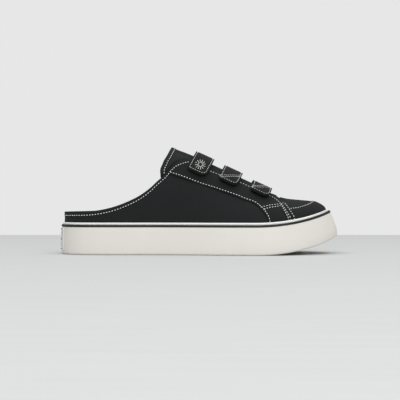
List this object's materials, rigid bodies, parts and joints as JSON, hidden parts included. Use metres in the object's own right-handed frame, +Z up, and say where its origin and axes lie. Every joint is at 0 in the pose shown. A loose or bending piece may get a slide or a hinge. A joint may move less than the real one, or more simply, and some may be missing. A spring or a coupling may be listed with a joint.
{
  "type": "sneaker mule",
  "caption": "Backless black canvas sneaker for the right foot, with a low heel collar, hook-and-loop straps over the instep and a tall off-white rubber sidewall.",
  "frame": {"origin": "on the floor under the centre of the shoe's bounding box", "axes": "+X from heel to toe, +Y towards the inner side of the foot, +Z up"},
  "size_m": [0.2768, 0.1004, 0.1059],
  "materials": {
    "sole_rubber": "matt off-white moulded rubber",
    "stripe_rubber": "satin black rubber pinstripe",
    "label_rubber": "thin matt white rubber label with a dark frame line",
    "footbed": "matt black fabric over foam",
    "canvas": "matt black cotton canvas with light stitching",
    "strap_webbing": "black brushed loop fabric with light edge stitching",
    "hook_tape": "black hook tape"
  },
  "bodies": {
    "root": {"outsole": "sole_rubber", "sidewall": "sole_rubber", "sidewall_stripe": "stripe_rubber", "heel_label": "label_rubber", "insole": "footbed", "upper": "canvas", "eyestay_lateral": "canvas", "eyestay_medial": "canvas", "toe_cap": "canvas", "tongue": "canvas", "strap_top": "strap_webbing", "strap_middle": "strap_webbing", "strap_lower": "strap_webbing", "hook_pad_top": "hook_tape", "hook_pad_middle": "hook_tape", "hook_pad_lower": "hook_tape"}
  },
  "joints": []
}
